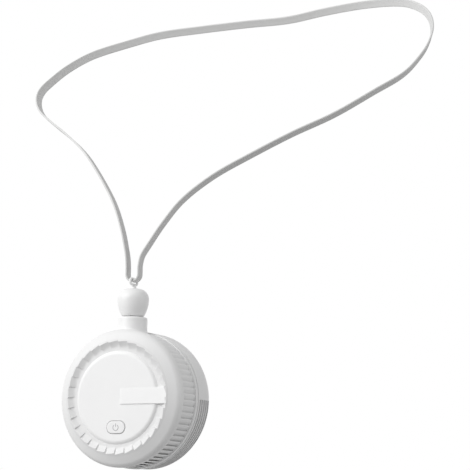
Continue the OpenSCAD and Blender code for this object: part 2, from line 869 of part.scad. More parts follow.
module stator_windings() color(copper) in_drum()
    for (k = [0 : core_poles - 1]) turned(360 * k / core_poles) difference() {
        translate([coil_start, -core_half - coil_rise, -pole_w / 2 - coil_t])
            cube([coil_reach, 2 * (core_half + coil_rise), pole_w + 2 * coil_t]);
        translate([coil_start - overrun, -core_half, -pole_w / 2])
            cube([coil_reach + 2 * overrun, 2 * core_half, pole_w]);
    }

module rotor_shaft() color(metal) in_drum() rod_y(shaft_r, wheel_front, frame_back);

module rotor_cup() color(metal) in_drum() difference() {
    rod_y(cup_r, cup_front, cup_back);
    rod_y(cup_r - cup_t, cup_front + cup_t, cup_back + overrun);
    rod_y(shaft_r, cup_front - overrun, cup_back);
}

module magnet_ring() color(dark) in_drum()
    tube_y(cup_r - cup_t, cup_r - cup_t - magnet_t, -magnet_half, magnet_half);

module blower_wheel() color(shell_white) in_drum() {
    tube_y(wheel_r, shaft_r, wheel_front, cup_front);
    tube_y(wheel_r, wheel_r - wheel_ring_w, wheel_back - wheel_ring_t, wheel_back);
    for (k = [0 : blade_count - 1]) turned(360 * k / blade_count) blade();
}

// One blade: a stretch of a curved strip between the plate and the rear ring
module blade() {
    chord = 2 * blade_curve_r * sin(blade_sweep / 2);
    translate([wheel_r - chord - blade_t / 4, 0, 0]) along_y() rotate([0, 0, blade_lean])
        translate([0, -blade_curve_r, 0]) rotate([0, 0, 90 - blade_sweep])
            rotate_extrude(angle = blade_sweep)
                translate([blade_curve_r - blade_t / 2, cup_front - wheel_plate_t / 2])
                    square([blade_t, wheel_back - wheel_ring_t / 2 - cup_front + wheel_plate_t / 2]);
}

module main_board() color(board_green) in_drum() {
    difference() {
        intersection() {
            rod_y(main_board_r, main_board_y, main_board_back);
            translate([-main_board_r, main_board_y, main_board_low])
                cube([2 * main_board_r, main_board_t, main_board_r]);
        }
        at_shell_screws()
            rod_y(shell_post_r + clear, main_board_y - overrun, main_board_back + overrun);
    }
    for (share = chip_place_shares)
        translate([share * chip_w, 0, main_board_low + chip_w])
            slab_y(chip_w, chip_w, main_board_back, main_board_back + chip_h);
}

module battery_cell() color(metal) in_drum() translate([0, 0, cell_low + cell_h / 2]) {
    slab_y(cell_w, cell_h - cell_edge, cell_front, cell_back);
    slab_y(cell_w - cell_edge, cell_h, cell_front + cell_edge / 2, cell_back - cell_edge / 2);
}

module battery_pad() color(dark) in_drum() translate([0, 0, cell_low + cell_h / 2])
    slab_y(cell_w - 2 * pad_margin, cell_h - 2 * pad_margin, cell_back, back_depth - wall);

// Points of a lead, with each corner rounded by a quarter of a small circle
function bent(a, corner, b) = let (
    to_a = unit(a - corner), to_b = unit(b - corner), centre = corner + lead_bend * (to_a + to_b)
) [for (k = [0 : lead_turn_steps])
    let (t = 90 * k / lead_turn_steps) centre - lead_bend * (sin(t) * to_a + cos(t) * to_b)];

module lead(points, first) color(dark)
    swept(points, round_outline(lead_r, lead_sides), first, [for (p = points) 0]);

module battery_leads() in_drum() for (k = [-1, 1]) {
    y = (cell_front + cell_back) / 2;
    z = cell_low + cell_lead_share * cell_h + k * lead_pitch;
    corner = [cell_w / 2 + 2 * lead_bend, y, z];
    start = [cell_w / 2, y, z];
    end = [corner[0], main_board_back, z];
    lead(concat([start], bent(start, corner, end), [end]), [0, 0, 1]);
}

module motor_leads() color(dark) in_drum() at_motor_leads()
    rod_y(lead_r, core_half + coil_rise, main_board_y);

// The switch's two leads run outward behind the fluted ring, then back beside the wheel
module switch_leads() in_drum() for (k = [-1, 1]) {
    y = board_back + lead_r;
    side = k * lead_pitch / 2;
    way = [cos(switch_lead_angle), 0, sin(switch_lead_angle)];
    sideways = [-sin(switch_lead_angle), 0, cos(switch_lead_angle)];
    corner = switch_lead_place * way + side * sideways + [0, y, 0];
    start = [-board_screw_x / 2, y, -button_drop] + side * sideways;
    end = [corner[0], main_board_y, corner[2]];
    lead(concat([start], bent(start, corner, end), [end]), sideways);
}

lanyard();
strap_end();
ball_knob();
swivel_pin();
retaining_clip();
front_shell();
fluted_ring();
face_disc();
face_bar();
seam_ring();
rear_shell();
neck_collar();
swivel_bush();
switch_board();
tact_switch();
board_screws();
mid_frame();
frame_screws();
shell_screws();
motor_base();
front_bearing();
rear_bearing();
stator_core();
stator_windings();
main_board();
usb_socket();
battery_cell();
battery_pad();
battery_leads();
motor_leads();
switch_leads();
power_button();
switch_plunger();
blower_wheel();
rotor_cup();
magnet_ring();
rotor_shaft();
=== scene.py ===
import math

import bmesh
import bpy
from mathutils import Matrix, Vector


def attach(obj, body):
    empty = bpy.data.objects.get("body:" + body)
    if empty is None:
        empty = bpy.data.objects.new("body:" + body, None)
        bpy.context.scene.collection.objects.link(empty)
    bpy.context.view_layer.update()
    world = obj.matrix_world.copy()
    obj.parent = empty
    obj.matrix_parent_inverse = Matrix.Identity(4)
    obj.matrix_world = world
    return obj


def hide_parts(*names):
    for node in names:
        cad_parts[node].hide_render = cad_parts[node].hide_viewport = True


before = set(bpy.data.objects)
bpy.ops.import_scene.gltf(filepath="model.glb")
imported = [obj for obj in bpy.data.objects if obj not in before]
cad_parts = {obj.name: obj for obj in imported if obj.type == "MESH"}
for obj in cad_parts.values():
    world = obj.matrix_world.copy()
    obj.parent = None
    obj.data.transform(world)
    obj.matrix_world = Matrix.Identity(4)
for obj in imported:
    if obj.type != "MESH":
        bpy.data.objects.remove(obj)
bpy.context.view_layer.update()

# Lengths below are millimetres. Places in the drum are measured from its centre, with the
# axial place along Y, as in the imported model.
MM = 0.001
DRUM = Vector((0, -158, -224))
WORLD = Vector((0, 0, 0))

# The drum's two shells, which meet at the seam
DRUM_R = 33.5
WALL = 1.8
BORE_R = DRUM_R - WALL
SEAM = 6.2
REAR = 7.6
BACK = 24.0
BACK_EDGE = 8.0

# Its face: the shoulder's bevel, the seat of the fluted ring, the channel and the disc
FRONT = -14.0
SHOULDER_TILT = math.radians(29)
SHOULDER_BEND = 4.0
CREST_R = 27.3
SEAT_R = 28.2
SEAT_BACK = -10.0
CHANNEL_Y = -12.6
DISC_R = 22.6
DISC_FACE = -13.6

STRAP_W = 4.5
STRAP_T = 1.0


def look(position, direction, roll):
    """Where a camera stands that looks along a direction, turned about it by a roll in degrees."""
    ahead = Vector(direction).normalized()
    right = ahead.cross(Vector((0, 0, 1))).normalized()
    up = right.cross(ahead)
    turn = math.radians(roll)
    right, up = (
        math.cos(turn) * right + math.sin(turn) * up,
        math.cos(turn) * up - math.sin(turn) * right,
    )
    m = Matrix((right, up, -ahead)).transposed().to_4x4()
    m.translation = Vector(position) * MM
    return m


# Fitted to the photograph
CAMERA_PLACE = (548.7, -1108.3, -300.7)
CAMERA_WAY = (-0.456, 0.8784, 0.143)
CAMERA_ROLL = 1.1
scene = bpy.context.scene
camera = bpy.data.objects.new("camera", bpy.data.cameras.new("camera"))
scene.collection.objects.link(camera)
camera.matrix_world = look(CAMERA_PLACE, CAMERA_WAY, CAMERA_ROLL)
camera.data.lens = 172.7
camera.data.sensor_width = 36
camera.data.clip_start = 0.05
camera.data.clip_end = 30
scene.camera = camera
scene.view_settings.view_transform = "Standard"


# The part of a noise's range that most of it lies in
NOISE_MIDDLE = (0.3, 0.7)


class Paint:
    """A node material built from one Principled shader."""

    def __init__(self, name, **sockets):
        self.material = bpy.data.materials.new(name)
        self.material.use_nodes = True
        self.tree = self.material.node_tree
        self.shader = self.tree.nodes["Principled BSDF"]
        for socket, value in sockets.items():
            self.shader.inputs[socket.replace("_", " ")].default_value = value
        self.place = self.node("ShaderNodeTexCoord").outputs["Object"]

    def node(self, kind, **values):
        made = self.tree.nodes.new(kind)
        for key, value in values.items():
            if hasattr(made, key):
                setattr(made, key, value)
            else:
                made.inputs[key.replace("_", " ")].default_value = value
        return made

    def link(self, source, target):
        self.tree.links.new(source, target)

    def noise(self, per_metre, detail, source=None):
        """Noise read from the object's own coordinates, or from another source."""
        made = self.node("ShaderNodeTexNoise", Scale=per_metre, Detail=detail)
        self.link(source or self.place, made.inputs["Vector"])
        return made.outputs["Fac"]

    def spread(self, value, low, high):
        """Maps the middle of a noise's range to a range of its own."""
        made = self.node("ShaderNodeMapRange")
        ends = ("From Min", "From Max", "To Min", "To Max")
        for key, number in zip(ends, (*NOISE_MIDDLE, low, high)):
            made.inputs[key].default_value = number
        self.link(value, made.inputs["Value"])
        return made.outputs["Result"]

    def maths(self, kind, a, b=None):
        made = self.node("ShaderNodeMath", operation=kind)
        for i, value in enumerate((a, b)):
            if value is None:
                continue
            if isinstance(value, (int, float)):
                made.inputs[i].default_value = value
            else:
                self.link(value, made.inputs[i])
        return made.outputs["Value"]

    def colours(self, value, low, high):
        made = self.node("ShaderNodeValToRGB")
        for element, place, colour in zip(made.color_ramp.elements, NOISE_MIDDLE, (low, high)):
            element.position = place
            element.color = (*colour, 1)
        self.link(value, made.inputs["Fac"])
        self.link(made.outputs["Color"], self.shader.inputs["Base Color"])

    def rough(self, value, low, high):
        self.link(self.spread(value, low, high), self.shader.inputs["Roughness"])

    def bump(self, height, depth, strength=1.0):
        """Adds relief of a depth in millimetres to what is there already."""
        made = self.node("ShaderNodeBump", Strength=strength, Distance=depth * MM)
        self.link(height, made.inputs["Height"])
        last = self.shader.inputs["Normal"]
        if last.is_linked:
            self.link(last.links[0].from_socket, made.inputs["Normal"])
        self.link(made.outputs["Normal"], last)
        return self


def shade(colour, factor):
    return tuple(min(1.0, c * factor) for c in colour)


def plastic(name, colour, rough=0.42, grain=2600, depth=0.006):
    """Moulded plastic: a fine spark-eroded grain, a slow flow mark and a little uneven gloss."""
    p = Paint(name, IOR=1.5, Specular_IOR_Level=0.5)
    slow = p.noise(55, 3)
    p.colours(slow, shade(colour, 0.985), shade(colour, 1.0075))
    p.rough(p.noise(420, 5), rough - 0.05, rough + 0.06)
    p.bump(slow, 0.02, 0.35)
    return p.bump(p.noise(grain, 2), depth).material


def metal(name, colour, rough=0.32, grain=(900, 900, 90)):
    """Metal with fine tool marks drawn out along one way."""
    p = Paint(name, Metallic=1.0)
    stretch = p.node("ShaderNodeMapping")
    stretch.inputs["Scale"].default_value = grain
    p.link(p.place, stretch.inputs["Vector"])
    marks = p.noise(1, 4, stretch.outputs["Vector"])
    p.colours(p.noise(300, 4), shade(colour, 0.93), shade(colour, 1.04))
    p.rough(marks, rough - 0.08, rough + 0.1)
    return p.bump(marks, 0.004).material


def striped(name, colour, other, per_metre, axis, depth, rough=0.4, metallic=0.0):
    """Fine parallel ridges, as in a wound coil or a stack of sheets."""
    p = Paint(name, Metallic=metallic)
    wave = p.node(
        "ShaderNodeTexWave", wave_type="BANDS", bands_direction=axis, Scale=per_metre,
        Distortion=0.3,
    )
    p.link(p.place, wave.inputs["Vector"])
    p.colours(wave.outputs["Fac"], other, colour)
    p.rough(p.noise(500, 3), rough - 0.06, rough + 0.08)
    return p.bump(wave.outputs["Fac"], depth).material


# From one slanting thread of the strap to the next
THREAD = 0.55


def woven(name, colour):
    """Flat woven strap: threads that cross on the slant, read from the strap's own length."""
    p = Paint(name, Roughness=0.85, Specular_IOR_Level=0.2)
    p.shader.inputs["Sheen Weight"].default_value = 0.1
    p.shader.inputs["Sheen Roughness"].default_value = 0.5
    lay = p.node("ShaderNodeAttribute", attribute_name="lay")
    split = p.node("ShaderNodeSeparateXYZ")
    p.link(lay.outputs["Vector"], split.inputs["Vector"])
    across, run = split.outputs["X"], split.outputs["Y"]
    turn = 2 * math.pi / THREAD
    slants = []
    for way in (1, -1):
        aside = p.maths("MULTIPLY", across, way * turn)
        slants.append(p.maths("SINE", p.maths("ADD", aside, p.maths("MULTIPLY", run, turn))))
    threads = p.maths("MAXIMUM", slants[0], slants[1])
    fuzz = p.noise(5200, 3)
    p.colours(
        p.maths("ADD", p.maths("MULTIPLY", threads, 0.2), p.maths("MULTIPLY", fuzz, 0.7)),
        shade(colour, 0.96), shade(colour, 1.03),
    )
    p.bump(fuzz, 0.008, 0.4)
    return p.bump(threads, 0.03, 0.6).material


def board(name, colour):
    """Solder mask over copper tracks."""
    p = Paint(name, Specular_IOR_Level=0.5)
    tracks = p.node("ShaderNodeTexBrick", Scale=260)
    p.link(p.place, tracks.inputs["Vector"])
    p.colours(tracks.outputs["Fac"], colour, shade(colour, 1.5))
    p.rough(p.noise(600, 3), 0.22, 0.34)
    return p.bump(tracks.outputs["Fac"], 0.03).material


def soft(name, colour, grain, depth, rough=0.7):
    """Rubber, foam and foil: an uneven skin with no sheen of its own."""
    p = Paint(name, Specular_IOR_Level=0.3)
    skin = p.noise(grain, 5)
    p.colours(skin, shade(colour, 0.8), shade(colour, 1.15))
    p.rough(skin, rough - 0.08, rough + 0.08)
    return p.bump(skin, depth).material


# One material for each of the record's slots
MATERIALS = {
    "strap": woven("woven_strap", (0.76, 0.76, 0.755)),
    "knob_white": plastic("knob_plastic", (0.90, 0.90, 0.90), rough=0.36, depth=0.003),
    "shell_white": plastic("shell_plastic", (0.84, 0.84, 0.84)),
    "face_white": plastic("face_plastic", (0.91, 0.91, 0.91), rough=0.45),
    "button_white": plastic("button_plastic", (0.89, 0.89, 0.89), rough=0.4, depth=0.004),
    "wheel_white": plastic("wheel_plastic", (0.80, 0.80, 0.80), rough=0.5, grain=1800),
    "steel": metal("plated_steel", (0.66, 0.67, 0.69)),
    "brass": metal("turned_brass", (0.78, 0.60, 0.30), grain=(60, 60, 1600)),
    "motor_alloy": metal("cast_alloy", (0.60, 0.61, 0.63), rough=0.5, grain=(500, 500, 500)),
    "lamination": striped("core_stack", (0.10, 0.12, 0.14), (0.04, 0.045, 0.05), 900, "Y", 0.03),
    "copper_wire": striped(
        "wound_copper", (0.72, 0.34, 0.14), (0.30, 0.12, 0.05), 1400, "Y", 0.08, rough=0.3,
        metallic=1.0,
    ),
    "magnet": soft("ferrite", (0.05, 0.05, 0.055), 1800, 0.01, rough=0.55),
    "circuit_board": board("solder_mask", (0.02, 0.14, 0.07)),
    "switch_case": metal("stamped_case", (0.62, 0.62, 0.62), rough=0.28),
    "black_plastic": plastic("dark_plastic", (0.03, 0.03, 0.03), rough=0.5),
    "cell_foil": soft("cell_foil", (0.62, 0.63, 0.65), 700, 0.05, rough=0.35),
    "foam": soft("foam_tape", (0.05, 0.05, 0.05), 3000, 0.08, rough=0.9),
    "lead_sleeve": soft("lead_sleeve", (0.04, 0.04, 0.045), 1500, 0.01, rough=0.45),
}
# Two more: the fluted ring's plastic, darker than the face's as painted shade of its recessed
# channel, and the power sign's print
SHADED_FLUTE_PLASTIC = plastic("fluted_painted_shade", (0.80, 0.80, 0.80), rough=0.45)
PRINT = soft("printed_grey", (0.50, 0.50, 0.51), 2400, 0.004, rough=0.5)

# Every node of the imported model, by the slot that it is finished with
NODE_SLOTS = {
    "steel": [
        "swivel_pin", "retaining_clip", "board_screws", "frame_screws", "shell_screws",
        "front_bearing", "rear_bearing", "usb_socket", "rotor_cup", "rotor_shaft",
    ],
    "brass": ["swivel_bush"],
    "circuit_board": ["switch_board", "main_board"],
    "switch_case": ["tact_switch"],
    "shell_white": ["front_shell", "rear_shell", "neck_collar", "mid_frame"],
    "face_white": ["fluted_ring", "face_disc", "face_bar", "seam_ring"],
    "button_white": ["power_button"],
    "knob_white": ["ball_knob"],
    "strap": ["lanyard", "strap_end"],
    "motor_alloy": ["motor_base"],
    "lamination": ["stator_core"],
    "copper_wire": ["stator_windings"],
    "cell_foil": ["battery_cell"],
    "foam": ["battery_pad"],
    "lead_sleeve": ["battery_leads", "motor_leads", "switch_leads"],
    "black_plastic": ["switch_plunger"],
    "wheel_white": ["blower_wheel"],
    "magnet": ["magnet_ring"],
}
# Edges of a node that are sharper than this stay sharp, in degrees
NODE_SHARP = 32
for slot, names in NODE_SLOTS.items():
    for name in names:
        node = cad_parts[name]
        node.data.materials.clear()
        node.data.materials.append(MATERIALS[slot])
        node.data.polygons.foreach_set("use_smooth", [True] * len(node.data.polygons))
        node.data.set_sharp_from_angle(angle=math.radians(NODE_SHARP))


class Shape:
    """A closed mesh put together from loops of points."""

    def __init__(self, place=DRUM):
        self.bm = bmesh.new()
        self.place = place

    def loop(self, points):
        return [self.bm.verts.new((Vector(p) + self.place) * MM) for p in points]

    def face(self, *verts):
        """A face, or nothing where its points fall together on a line."""
        kept = [v for i, v in enumerate(verts) if v is not verts[i - 1]]
        if len(kept) > 2:
            self.bm.faces.new(kept)

    def bridge(self, a, b):
        for i in range(len(a)):
            k = (i + 1) % len(a)
            self.face(a[i], a[k], b[k], b[i])

    def chain(self, loops, closed=False):
        for a, b in zip(loops, loops[1:]):
            self.bridge(a, b)
        if closed:
            self.bridge(loops[-1], loops[0])

    def fill(self, *loops):
        """A flat face with holes, from its outer loop and the loops of its holes."""
        edges = []
        for loop in loops:
            for i, a in enumerate(loop):
                b = loop[(i + 1) % len(loop)]
                edges.append(self.bm.edges.get((a, b)) or self.bm.edges.new((a, b)))
        bmesh.ops.triangle_fill(self.bm, use_beauty=True, edges=edges)

    def piece(self, name, body, slot, nodes=(), angle=38, material=None):
        """Makes the piece and rides it on its body, in the place of the nodes that it dresses."""
        bmesh.ops.recalc_face_normals(self.bm, faces=self.bm.faces)
        mesh = bpy.data.meshes.new(name)
        self.bm.to_mesh(mesh)
        self.bm.free()
        mesh.polygons.foreach_set("use_smooth", [True] * len(mesh.polygons))
        mesh.set_sharp_from_angle(angle=math.radians(angle))
        mesh.materials.append(material or MATERIALS[slot])
        obj = bpy.data.objects.new(name, mesh)
        scene.collection.objects.link(obj)
        weighted = obj.modifiers.new("normals", "WEIGHTED_NORMAL")
        weighted.keep_sharp = True
        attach(obj, body)
        if nodes:
            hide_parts(*nodes)
        return obj


def eased(corners, closed=True, step=12):
    """An outline whose corners (u, v, radius) are rounded by arcs."""
    out = []
    count = len(corners)
    for i, (u, v, radius) in enumerate(corners):
        here = Vector((u, v))
        inner = closed or 0 < i < count - 1
        if not radius or not inner:
            out.append((u, v))
            continue
        to_a = (Vector(corners[i - 1][:2]) - here).normalized()
        to_b = (Vector(corners[(i + 1) % count][:2]) - here).normalized()
        opening = to_a.angle(to_b)
        bend = math.pi - opening
        if bend < 0.02:
            out.append((u, v))
            continue
        reach = radius / math.tan(opening / 2)
        centre = here + (to_a + to_b).normalized() * radius / math.sin(opening / 2)
        first, last = here + to_a * reach - centre, here + to_b * reach - centre
        steps = max(2, math.ceil(math.degrees(bend) / step))
        for k in range(steps + 1):
            t = k / steps
            arm = (math.sin((1 - t) * bend) * first + math.sin(t * bend) * last) / math.sin(bend)
            out.append(tuple(centre + arm))
    return out


def full_turn(count):
    """Angles evenly spaced over one turn."""
    return [2 * math.pi * k / count for k in range(count)]


def about_y(r, y, angles):
    """A circle round the drum's axis."""
    return [(r * math.cos(a), y, r * math.sin(a)) for a in angles]


def about_z(r, z, angles):
    """A circle round the upright axis of knob and collar."""
    return [(r * math.cos(a), r * math.sin(a), z) for a in angles]


def lathe(profile, turn, count, closed=True):
    """A solid of revolution; a point with no radius closes the end."""
    shape = Shape()
    angles = full_turn(count)
    loops = []
    for r, a in profile:
        if r:
            loops.append(shape.loop(turn(r, a, angles)))
        else:
            loops.append(shape.loop(turn(0, a, [0])) * count)
    shape.chain(loops, closed)
    return shape


def pill(w, h, cz=0.0):
    """The outline of a pill that lies along X, as (x, z)."""
    out = []
    for side, start in ((1, -90), (-1, 90)):
        for k in range(17):
            a = math.radians(start + 180 * k / 16)
            out.append((side * (w - h) / 2 + h / 2 * math.cos(a), cz + h / 2 * math.sin(a)))
    return out


# Strap: the route of its middle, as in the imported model, and how far it is turned about that
# route at each point, in degrees
ROUTE = [
    (-3.3, -158, -159), (-3.7, -157.9, -155), (-5, -157.2, -150), (-9, -155, -139),
    (-17, -150, -125), (-31, -141, -109), (-46, -131, -95), (-64, -118, -83),
    (-83, -104, -72), (-100, -89, -62), (-112, -74, -52), (-119, -60, -43),
    (-121, -46, -34), (-118, -33, -24), (-109, -22, -15), (-93, -12, -8),
    (-74, -6, -3), (-50, -2, -1), (-22, 0, 0), (4, 0, 0),
    (28, -2, 2), (54, -8, 2), (78, -17, -1), (92, -24, -6),
    (103, -34, -14), (110, -45, -24), (113, -56, -34), (113, -67, -44),
    (109, -80, -56), (99, -94, -67), (84, -108, -80), (67, -121, -91),
    (50, -131, -102), (34, -140, -113), (21, -147, -125), (13, -152, -137),
    (6.8, -155.9, -148.6), (4.2, -157.5, -154), (3.3, -158, -159),
]
TURNS = [
    0, 0, 0, 0, 0, 0, 0, 0, 0, 0,
    0, 3, 6, 10, 14, 18, 21, 24, 25, 25,
    24, 20, 14, 8, 3, 0, 0, 0, 0, 0,
    0, 0, 0, 0, 0, 1, 2, 2, 2,
]
STEPS = 12
STRAP_EDGE = 0.45
STRAP_HOLLOW = 0.07


def between(a, b, c, d, t):
    """A place on the smooth curve from b to c, where a and d are the points on either side."""
    return 0.5 * (
        2 * b + (c - a) * t + (2 * a - 5 * b + 4 * c - d) * t ** 2
        + (3 * b - a - 3 * c + d) * t ** 3
    )


def finer(items, steps):
    """Fills in the smooth curve through some points or numbers."""
    last = len(items) - 1
    out = []
    for i in range(last):
        near = [items[max(i - 1, 0)], items[i], items[i + 1], items[min(i + 2, last)]]
        out += [between(*near, k / steps) for k in range(steps)]
    return out + [items[last]]


def strap_outline():
    """The strap's section: rounded edges and two flat sides that are a little hollow."""
    w, t = STRAP_W / 2, STRAP_T / 2
    rounds = eased([(u, v, STRAP_EDGE) for u, v in ((w, -t), (w, t), (-w, t), (-w, -t))], step=22)
    out = []
    for i, (u, v) in enumerate(rounds):
        out.append((u, v))
        across = rounds[(i + 1) % len(rounds)][0] - u
        if abs(across) > STRAP_W / 2:
            for k in range(1, 6):
                hollow = STRAP_HOLLOW * math.sin(math.pi * k / 6)
                out.append((u + across * k / 6, v * (1 - hollow)))
    return out


def strap_along(points, turns, name, node, place=WORLD):
    """Carries the strap's section along points, and notes where on the strap each point lies.

    The ends lie level, where the strap meets its own sewn end."""
    shape = Shape(place)
    outline = strap_outline()
    side = Vector((0, 1, 0))
    loops, lay, run = [], [], 0.0
    last = len(points) - 1
    for i, p in enumerate(points):
        way = (points[min(i + 1, last)] - points[max(i - 1, 0)]).normalized()
        if i in (0, last):
            way = Vector((0, 0, math.copysign(1, way.z)))
        side = (side - side.dot(way) * way).normalized()
        turn = math.radians(turns[i])
        right = math.cos(turn) * side + math.sin(turn) * way.cross(side)
        up = way.cross(right)
        run += (p - points[i - 1]).length if i else 0
        loops.append(shape.loop([p + u * right + v * up for u, v in outline]))
        lay += [(u, run, v) for u, v in outline]
    shape.chain(loops)
    shape.face(*loops[0])
    shape.face(*loops[-1])
    obj = shape.piece(name, "strap", "strap", [node])
    note = obj.data.attributes.new("lay", "FLOAT_VECTOR", "POINT")
    note.data.foreach_set("vector", [c for item in lay for c in item])
    return obj


route = [Vector(p) for p in ROUTE]
centreline = finer(route, STEPS)
strap = strap_along(centreline, finer(TURNS, STEPS), "neck_strap", "lanyard")

# The strap's sewn end, a U that hangs under the eyelet's bar
EYE_TOP = 58.95
WIRE_R = 0.6
EYE_GAP = 0.05
U_R = 3.3
U_LEG = 3.9
U_CENTRE = EYE_TOP - WIRE_R - EYE_GAP - STRAP_T / 2 + U_R
foot = [Vector((-U_R, 0, U_CENTRE + U_LEG * (1 - k / 4))) for k in range(4)]
foot += [
    Vector((-U_R * math.cos(a), 0, U_CENTRE - U_R * math.sin(a)))
    for a in (math.pi * k / 28 for k in range(29))
]
foot += [Vector((U_R, 0, U_CENTRE + U_LEG * k / 4)) for k in range(1, 5)]
strap_loop = strap_along(foot, [0] * len(foot), "strap_loop", "strap_end", place=DRUM)


# Knob: a ball that narrows downwards, with a stem on top that carries the eyelet
COLLAR_TOP = 40.0
KNOB_LOW = COLLAR_TOP + 0.4
KNOB_TOP = KNOB_LOW + 13.7
KNOB_R = 7.7
KNOB_FOOT = 4.9
KNOB_FOOT_EDGE = 0.35
SIDE_R = 16
CAP_R = 5.2
BELLY = KNOB_TOP - CAP_R
STEM_R = 1.3
STEM_FLARE = 0.8
profile = [(0, KNOB_LOW), (KNOB_FOOT, KNOB_LOW), (KNOB_FOOT + 0.25, KNOB_LOW + 0.08)]
for k in range(15):
    z = KNOB_LOW + KNOB_FOOT_EDGE + (BELLY - KNOB_LOW - KNOB_FOOT_EDGE) * k / 14
    profile.append((KNOB_R - SIDE_R + math.sqrt(SIDE_R ** 2 - (BELLY - z) ** 2), z))
for k in range(1, 15):
    a = math.radians(90 * k / 14)
    profile.append((KNOB_R - CAP_R + CAP_R * math.cos(a), BELLY + CAP_R * math.sin(a)))
for k in range(1, 7):
    a = math.radians(15 * k)
    flare = STEM_FLARE * (1 - math.sin(a))
    profile.append((STEM_R + flare, KNOB_TOP + STEM_FLARE * (1 - math.cos(a))))
profile += [(STEM_R, KNOB_TOP + 1.2), (STEM_R - 0.08, KNOB_TOP + 1.95), (0, KNOB_TOP + 2.05)]
knob = lathe(profile, about_z, 128, closed=False)

# Eyelet: round wire bent to a closed loop with its bar along Y
EYE_PLAY = 0.4
EYE_LOW = EYE_TOP - 2.85
half = STRAP_W / 2 + EYE_PLAY + WIRE_R
wire = [Vector((0, u, v)) for u, v in eased([
    (half, EYE_TOP, 1.0), (-half, EYE_TOP, 1.0), (-half, EYE_LOW, 1.2), (half, EYE_LOW, 1.2),
])]
loops = []
for i, p in enumerate(wire):
    way = (wire[(i + 1) % len(wire)] - wire[i - 1]).normalized()
    out = way.cross(Vector((1, 0, 0)))
    loops.append(knob.loop([
        p + WIRE_R * (math.cos(a) * Vector((1, 0, 0)) + math.sin(a) * out) for a in full_turn(20)
    ]))
knob.chain(loops, closed=True)
knob.piece("knob", "knob", "knob_white", ["ball_knob"])

# Collar: its foot follows the drum and flares into it, and a lip inside covers the bush
COLLAR_R = 7.2
COLLAR_LOW = 31
ROOT_R = 5.2
BUSH_R = 4.21
RECESS = COLLAR_TOP - 0.35
COVER_R, COVER_TOP, COVER_LOW = 2.9, COLLAR_TOP + 0.12, COLLAR_TOP + 0.01
FLARE = (
    (ROOT_R, -1.2), (7.75, -0.5), (7.62, 0.08), (7.36, 0.26), (7.24, 0.5), (COLLAR_R, 0.85),
)
collar = Shape()
angles = full_turn(160)
loops = []
for r, lift in FLARE:
    points = [(r * math.cos(a), r * math.sin(a)) for a in angles]
    loops.append(collar.loop([(x, y, math.sqrt(DRUM_R ** 2 - x ** 2) + lift) for x, y in points]))
for r, z in eased([
    (COLLAR_R, 36, 0), (COLLAR_R, COLLAR_TOP, 1.0), (5.9, COLLAR_TOP, 0.12), (5.75, RECESS, 0.1),
    (4.7, RECESS, 0), (4.6, COVER_TOP, 0.05), (COVER_R, COVER_TOP, 0), (COVER_R, COVER_LOW, 0),
    (BUSH_R, COVER_LOW, 0),
], closed=False):
    loops.append(collar.loop(about_z(r, z, angles)))
loops.append(collar.loop(about_z(BUSH_R, COLLAR_LOW, angles)))
loops.append(collar.loop(about_z(ROOT_R, COLLAR_LOW, angles)))
collar.chain(loops, closed=True)
# The collar wears the knob's lighter plastic instead of the shell's: a lighter colour that is
# painted light, standing in for more light on its shaded side.
collar.piece("collar", "housing", "shell_white", ["neck_collar"], material=MATERIALS["knob_white"])


def shoulder(r):
    """Axial place of the shoulder's bevel at a radius."""
    return FRONT + (r - CREST_R) * math.tan(SHOULDER_TILT)


# Front shell: the shoulder with its bend, the band of outlet slots, and the edge at the seam
SLOTS = 68
SLOT_W = 0.9
SLANT = math.radians(58)
SLOT_FRONT, SLOT_BACK = -6.5, 4.5
BEVEL = 0.14
BAND_R = DRUM_R - 0.5
BAND_FRONT, BAND_BACK = -7.3, 4.7
SEAT_FRONT = -12.2
BEVEL_STEP = 0.97
BEND_STEPS = 14
INSIDE_FRONT, INSIDE_BEND = -8.7, 3.5
slot_places = [SLOT_FRONT - BEVEL, SLOT_FRONT, -3.0, 1.0, SLOT_BACK, SLOT_BACK + BEVEL]
bend_x = DRUM_R - SHOULDER_BEND
bend_y = shoulder(bend_x + SHOULDER_BEND * math.sin(SHOULDER_TILT))
bend_y += SHOULDER_BEND * math.cos(SHOULDER_TILT)
outer = [(SEAT_R, SEAT_FRONT)]
outer += [(SEAT_R + BEVEL_STEP * k, shoulder(SEAT_R + BEVEL_STEP * k)) for k in range(4)]
for k in range(BEND_STEPS + 1):
    a = SHOULDER_TILT + (math.pi / 2 - SHOULDER_TILT) * k / BEND_STEPS
    outer.append((bend_x + SHOULDER_BEND * math.sin(a), bend_y - SHOULDER_BEND * math.cos(a)))
outer += [(DRUM_R, BAND_FRONT - 0.45), (BAND_R, BAND_FRONT)]
outer += [(BAND_R, y) for y in slot_places]
outer += [(BAND_R, BAND_BACK), (DRUM_R - 0.03, BAND_BACK + 0.1), (DRUM_R, BAND_BACK + 0.2)]
outer += [(DRUM_R, SEAM - 0.02), (DRUM_R - 0.02, SEAM)]
inner = [(BORE_R, SEAM)]
inner += [(BORE_R, y) for y in reversed(slot_places)]
inner.append((BORE_R, INSIDE_FRONT))
for k in range(1, 6):
    a = math.radians(90 * k / 6)
    inner.append((SEAT_R + INSIDE_BEND * math.cos(a), INSIDE_FRONT - INSIDE_BEND * math.sin(a)))
rows = outer + inner
cut_rows = [i for i, (_, y) in enumerate(rows) if SLOT_FRONT <= y <= SLOT_BACK]

# A slot has six columns of points, by rising angle: a bevel, its two edges with its middle between
# them, the end of a soft edge, and the rib. LET_IN says how far each lies inside the band.
PITCH = 2 * math.pi / SLOTS
MOUTH_CUT = 0.3
SOFT_W = 0.9
RIB_SHARE = 0.62
LET_IN = (0, BEVEL / 2, 0.2, 0.3, 0.02, 0)
LOW_EDGE, MIDDLE = 1, 2


